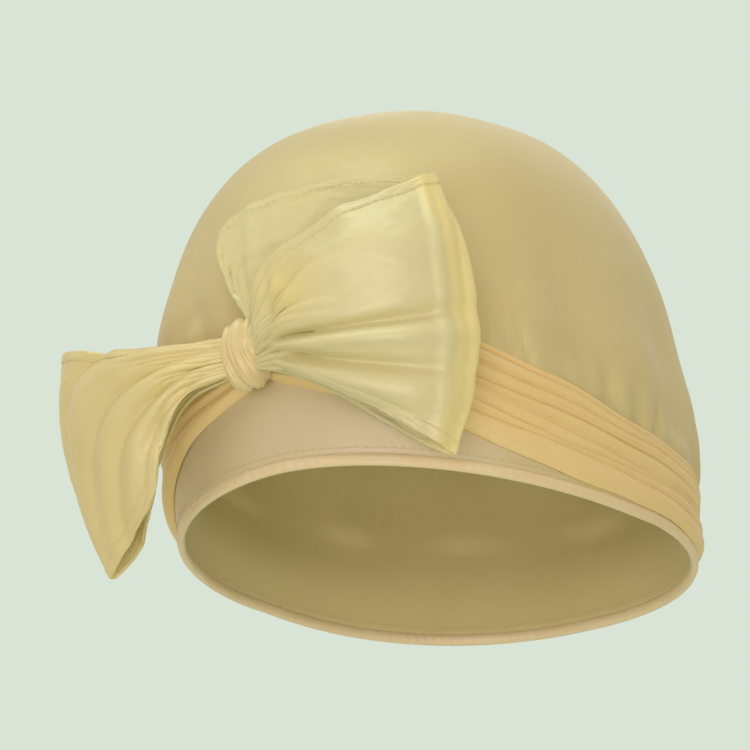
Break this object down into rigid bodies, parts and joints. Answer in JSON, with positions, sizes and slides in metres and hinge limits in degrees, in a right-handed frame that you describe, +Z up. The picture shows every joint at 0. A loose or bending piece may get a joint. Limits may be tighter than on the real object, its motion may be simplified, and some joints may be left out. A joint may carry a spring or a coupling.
{
  "type": "head wrap cap with tied bow",
  "caption": "Soft satin wrap cap in its worn form: rounded hollow crown, narrow rolled hem and gathered straps tied above the forehead in a large bow.",
  "frame": {"origin": "middle of the head opening, level with the hem over the forehead", "axes": "+Z up through the top of the head, -Y forwards out of the face side where the bow is, +X to the wearer's left"},
  "size_m": [0.1636, 0.208, 0.1685],
  "materials": {
    "crown_satin": "soft satin sheen, fine knit",
    "hem_satin": "folded and stitched satin edge",
    "strap_satin": "satin gathered in long pleats",
    "bow_satin": "soft satin sheen, fine knit",
    "knot_satin": "tightly wrapped satin"
  },
  "bodies": {
    "root": {"crown": "crown_satin", "edge_hem": "hem_satin", "strap_left": "strap_satin", "strap_right": "strap_satin", "bow_loop_left": "bow_satin", "bow_loop_right": "bow_satin", "bow_knot": "knot_satin"}
  },
  "joints": []
}
